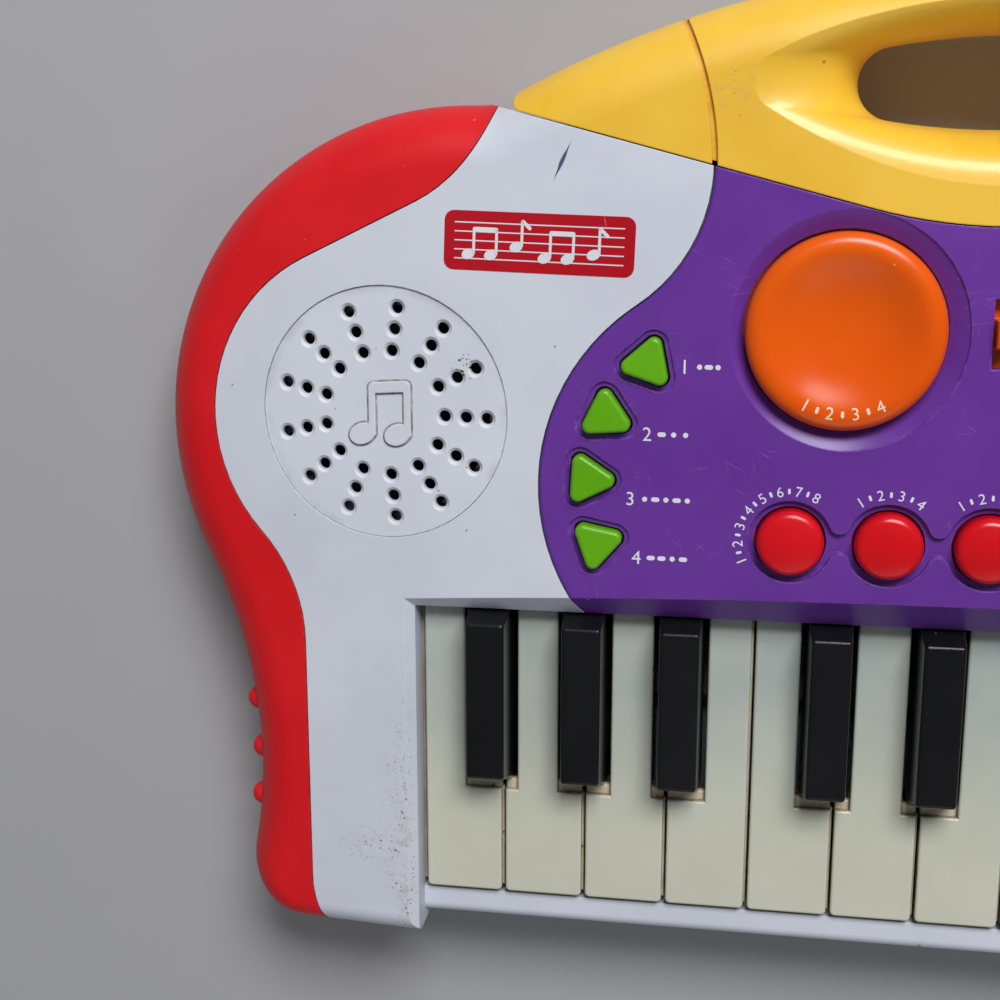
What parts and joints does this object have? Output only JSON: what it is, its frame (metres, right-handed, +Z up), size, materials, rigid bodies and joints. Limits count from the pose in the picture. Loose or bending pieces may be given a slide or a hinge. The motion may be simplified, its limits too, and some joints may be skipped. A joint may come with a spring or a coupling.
{
  "type": "toy piano",
  "caption": "Toy keyboard piano with hinged black and white keys, press buttons, drum pads, round speaker grilles, side bumpers and an arched carry handle.",
  "frame": {"origin": "under the middle of the toy's bounding box, on the table that its feet stand on", "axes": "+X along the keyboard to the high notes, +Y from the keys to the carry handle, +Z up"},
  "size_m": [0.389, 0.2314, 0.0456],
  "materials": {
    "white_case": "satin",
    "purple_panel": "satin",
    "yellow_handle": "gloss",
    "red_bumper": "soft matte",
    "white_key": "gloss, slightly yellowed",
    "black_key": "gloss",
    "red_button": "gloss",
    "green_button": "gloss",
    "orange_pad": "gloss",
    "silicone": "matte",
    "circuit_board": "matte",
    "steel": "plain",
    "speaker_steel": "satin",
    "magnet": "matte",
    "speaker_paper": "matte",
    "battery_jacket": "satin",
    "spring_contact": "bright",
    "foot_rubber": "matte"
  },
  "bodies": {
    "case": {"upper_case": "white_case", "lower_case": "white_case", "speaker_grilles": "white_case", "battery_door": "white_case", "control_panel": "purple_panel", "handle_front": "yellow_handle", "handle_back": "yellow_handle", "left_bumper": "red_bumper", "right_bumper": "red_bumper", "key_pivot_rod": "steel", "key_contact_strip": "silicone", "key_board": "circuit_board", "main_board": "circuit_board", "button_membrane": "silicone", "speaker_baskets": "speaker_steel", "speaker_magnets": "magnet", "speaker_cones": "speaker_paper", "batteries": "battery_jacket", "battery_contacts": "spring_contact", "case_screws": "steel", "feet": "foot_rubber"},
    "white_key_1": {"white_key_1": "white_key"},
    "white_key_2": {"white_key_2": "white_key"},
    "white_key_3": {"white_key_3": "white_key"},
    "white_key_4": {"white_key_4": "white_key"},
    "white_key_5": {"white_key_5": "white_key"},
    "white_key_6": {"white_key_6": "white_key"},
    "white_key_7": {"white_key_7": "white_key"},
    "white_key_8": {"white_key_8": "white_key"},
    "white_key_9": {"white_key_9": "white_key"},
    "white_key_10": {"white_key_10": "white_key"},
    "white_key_11": {"white_key_11": "white_key"},
    "white_key_12": {"white_key_12": "white_key"},
    "white_key_13": {"white_key_13": "white_key"},
    "black_key_1": {"black_key_1": "black_key"},
    "black_key_2": {"black_key_2": "black_key"},
    "black_key_3": {"black_key_3": "black_key"},
    "black_key_4": {"black_key_4": "black_key"},
    "black_key_5": {"black_key_5": "black_key"},
    "black_key_6": {"black_key_6": "black_key"},
    "black_key_7": {"black_key_7": "black_key"},
    "black_key_8": {"black_key_8": "black_key"},
    "black_key_9": {"black_key_9": "black_key"},
    "instrument_button_1": {"instrument_button_1": "red_button"},
    "instrument_button_2": {"instrument_button_2": "red_button"},
    "instrument_button_3": {"instrument_button_3": "red_button"},
    "instrument_button_4": {"instrument_button_4": "red_button"},
    "instrument_button_5": {"instrument_button_5": "red_button"},
    "rhythm_button_1": {"rhythm_button_1": "green_button"},
    "rhythm_button_2": {"rhythm_button_2": "green_button"},
    "rhythm_button_3": {"rhythm_button_3": "green_button"},
    "rhythm_button_4": {"rhythm_button_4": "green_button"},
    "rhythm_button_5": {"rhythm_button_5": "green_button"},
    "rhythm_button_6": {"rhythm_button_6": "green_button"},
    "rhythm_button_7": {"rhythm_button_7": "green_button"},
    "rhythm_button_8": {"rhythm_button_8": "green_button"},
    "left_pad": {"left_pad": "orange_pad"},
    "right_pad": {"right_pad": "orange_pad"},
    "power_slider": {"power_slider": "white_case"}
  },
  "joints": [
    {"name": "white_key_1_press", "type": "hinge", "parent": "case", "child": "white_key_1", "pos_m": [0, -0.00375, 0.019], "axis": [1, 0, 0], "range_deg": [0, 3.4], "stiffness_Nm_per_rad": 0.15, "springref_deg": -8.59},
    {"name": "white_key_2_press", "type": "hinge", "parent": "case", "child": "white_key_2", "pos_m": [0, -0.00375, 0.019], "axis": [1, 0, 0], "range_deg": [0, 3.4], "stiffness_Nm_per_rad": 0.15, "springref_deg": -8.59},
    {"name": "white_key_3_press", "type": "hinge", "parent": "case", "child": "white_key_3", "pos_m": [0, -0.00375, 0.019], "axis": [1, 0, 0], "range_deg": [0, 3.4], "stiffness_Nm_per_rad": 0.15, "springref_deg": -8.59},
    {"name": "white_key_4_press", "type": "hinge", "parent": "case", "child": "white_key_4", "pos_m": [0, -0.00375, 0.019], "axis": [1, 0, 0], "range_deg": [0, 3.4], "stiffness_Nm_per_rad": 0.15, "springref_deg": -8.59},
    {"name": "white_key_5_press", "type": "hinge", "parent": "case", "child": "white_key_5", "pos_m": [0, -0.00375, 0.019], "axis": [1, 0, 0], "range_deg": [0, 3.4], "stiffness_Nm_per_rad": 0.15, "springref_deg": -8.59},
    {"name": "white_key_6_press", "type": "hinge", "parent": "case", "child": "white_key_6", "pos_m": [0, -0.00375, 0.019], "axis": [1, 0, 0], "range_deg": [0, 3.4], "stiffness_Nm_per_rad": 0.15, "springref_deg": -8.59},
    {"name": "white_key_7_press", "type": "hinge", "parent": "case", "child": "white_key_7", "pos_m": [0, -0.00375, 0.019], "axis": [1, 0, 0], "range_deg": [0, 3.4], "stiffness_Nm_per_rad": 0.15, "springref_deg": -8.59},
    {"name": "white_key_8_press", "type": "hinge", "parent": "case", "child": "white_key_8", "pos_m": [0, -0.00375, 0.019], "axis": [1, 0, 0], "range_deg": [0, 3.4], "stiffness_Nm_per_rad": 0.15, "springref_deg": -8.59},
    {"name": "white_key_9_press", "type": "hinge", "parent": "case", "child": "white_key_9", "pos_m": [0, -0.00375, 0.019], "axis": [1, 0, 0], "range_deg": [0, 3.4], "stiffness_Nm_per_rad": 0.15, "springref_deg": -8.59},
    {"name": "white_key_10_press", "type": "hinge", "parent": "case", "child": "white_key_10", "pos_m": [0, -0.00375, 0.019], "axis": [1, 0, 0], "range_deg": [0, 3.4], "stiffness_Nm_per_rad": 0.15, "springref_deg": -8.59},
    {"name": "white_key_11_press", "type": "hinge", "parent": "case", "child": "white_key_11", "pos_m": [0, -0.00375, 0.019], "axis": [1, 0, 0], "range_deg": [0, 3.4], "stiffness_Nm_per_rad": 0.15, "springref_deg": -8.59},
    {"name": "white_key_12_press", "type": "hinge", "parent": "case", "child": "white_key_12", "pos_m": [0, -0.00375, 0.019], "axis": [1, 0, 0], "range_deg": [0, 3.4], "stiffness_Nm_per_rad": 0.15, "springref_deg": -8.59},
    {"name": "white_key_13_press", "type": "hinge", "parent": "case", "child": "white_key_13", "pos_m": [0, -0.00375, 0.019], "axis": [1, 0, 0], "range_deg": [0, 3.4], "stiffness_Nm_per_rad": 0.15, "springref_deg": -8.59},
    {"name": "black_key_1_press", "type": "hinge", "parent": "case", "child": "black_key_1", "pos_m": [0, -0.00375, 0.019], "axis": [1, 0, 0], "range_deg": [0, 3.4], "stiffness_Nm_per_rad": 0.15, "springref_deg": -8.59},
    {"name": "black_key_2_press", "type": "hinge", "parent": "case", "child": "black_key_2", "pos_m": [0, -0.00375, 0.019], "axis": [1, 0, 0], "range_deg": [0, 3.4], "stiffness_Nm_per_rad": 0.15, "springref_deg": -8.59},
    {"name": "black_key_3_press", "type": "hinge", "parent": "case", "child": "black_key_3", "pos_m": [0, -0.00375, 0.019], "axis": [1, 0, 0], "range_deg": [0, 3.4], "stiffness_Nm_per_rad": 0.15, "springref_deg": -8.59},
    {"name": "black_key_4_press", "type": "hinge", "parent": "case", "child": "black_key_4", "pos_m": [0, -0.00375, 0.019], "axis": [1, 0, 0], "range_deg": [0, 3.4], "stiffness_Nm_per_rad": 0.15, "springref_deg": -8.59},
    {"name": "black_key_5_press", "type": "hinge", "parent": "case", "child": "black_key_5", "pos_m": [0, -0.00375, 0.019], "axis": [1, 0, 0], "range_deg": [0, 3.4], "stiffness_Nm_per_rad": 0.15, "springref_deg": -8.59},
    {"name": "black_key_6_press", "type": "hinge", "parent": "case", "child": "black_key_6", "pos_m": [0, -0.00375, 0.019], "axis": [1, 0, 0], "range_deg": [0, 3.4], "stiffness_Nm_per_rad": 0.15, "springref_deg": -8.59},
    {"name": "black_key_7_press", "type": "hinge", "parent": "case", "child": "black_key_7", "pos_m": [0, -0.00375, 0.019], "axis": [1, 0, 0], "range_deg": [0, 3.4], "stiffness_Nm_per_rad": 0.15, "springref_deg": -8.59},
    {"name": "black_key_8_press", "type": "hinge", "parent": "case", "child": "black_key_8", "pos_m": [0, -0.00375, 0.019], "axis": [1, 0, 0], "range_deg": [0, 3.4], "stiffness_Nm_per_rad": 0.15, "springref_deg": -8.59},
    {"name": "black_key_9_press", "type": "hinge", "parent": "case", "child": "black_key_9", "pos_m": [0, -0.00375, 0.019], "axis": [1, 0, 0], "range_deg": [0, 3.4], "stiffness_Nm_per_rad": 0.15, "springref_deg": -8.59},
    {"name": "instrument_button_1_press", "type": "slide", "parent": "case", "child": "instrument_button_1", "axis": [0, 0, -1], "range_m": [0, 0.002], "stiffness_N_per_m": 400, "springref_m": -0.001},
    {"name": "instrument_button_2_press", "type": "slide", "parent": "case", "child": "instrument_button_2", "axis": [0, 0, -1], "range_m": [0, 0.002], "stiffness_N_per_m": 400, "springref_m": -0.001},
    {"name": "instrument_button_3_press", "type": "slide", "parent": "case", "child": "instrument_button_3", "axis": [0, 0, -1], "range_m": [0, 0.002], "stiffness_N_per_m": 400, "springref_m": -0.001},
    {"name": "instrument_button_4_press", "type": "slide", "parent": "case", "child": "instrument_button_4", "axis": [0, 0, -1], "range_m": [0, 0.002], "stiffness_N_per_m": 400, "springref_m": -0.001},
    {"name": "instrument_button_5_press", "type": "slide", "parent": "case", "child": "instrument_button_5", "axis": [0, 0, -1], "range_m": [0, 0.002], "stiffness_N_per_m": 400, "springref_m": -0.001},
    {"name": "rhythm_button_1_press", "type": "slide", "parent": "case", "child": "rhythm_button_1", "axis": [0, 0, -1], "range_m": [0, 0.002], "stiffness_N_per_m": 400, "springref_m": -0.001},
    {"name": "rhythm_button_2_press", "type": "slide", "parent": "case", "child": "rhythm_button_2", "axis": [0, 0, -1], "range_m": [0, 0.002], "stiffness_N_per_m": 400, "springref_m": -0.001},
    {"name": "rhythm_button_3_press", "type": "slide", "parent": "case", "child": "rhythm_button_3", "axis": [0, 0, -1], "range_m": [0, 0.002], "stiffness_N_per_m": 400, "springref_m": -0.001},
    {"name": "rhythm_button_4_press", "type": "slide", "parent": "case", "child": "rhythm_button_4", "axis": [0, 0, -1], "range_m": [0, 0.002], "stiffness_N_per_m": 400, "springref_m": -0.001},
    {"name": "rhythm_button_5_press", "type": "slide", "parent": "case", "child": "rhythm_button_5", "axis": [0, 0, -1], "range_m": [0, 0.002], "stiffness_N_per_m": 400, "springref_m": -0.001},
    {"name": "rhythm_button_6_press", "type": "slide", "parent": "case", "child": "rhythm_button_6", "axis": [0, 0, -1], "range_m": [0, 0.002], "stiffness_N_per_m": 400, "springref_m": -0.001},
    {"name": "rhythm_button_7_press", "type": "slide", "parent": "case", "child": "rhythm_button_7", "axis": [0, 0, -1], "range_m": [0, 0.002], "stiffness_N_per_m": 400, "springref_m": -0.001},
    {"name": "rhythm_button_8_press", "type": "slide", "parent": "case", "child": "rhythm_button_8", "axis": [0, 0, -1], "range_m": [0, 0.002], "stiffness_N_per_m": 400, "springref_m": -0.001},
    {"name": "left_pad_press", "type": "slide", "parent": "case", "child": "left_pad", "axis": [0, 0, -1], "range_m": [0, 0.002], "stiffness_N_per_m": 600, "springref_m": -0.001},
    {"name": "right_pad_press", "type": "slide", "parent": "case", "child": "right_pad", "axis": [0, 0, -1], "range_m": [0, 0.002], "stiffness_N_per_m": 600, "springref_m": -0.001},
    {"name": "power_slider_move", "type": "slide", "parent": "case", "child": "power_slider", "axis": [0, 1, 0], "range_m": [-0.004, 0.004]}
  ]
}
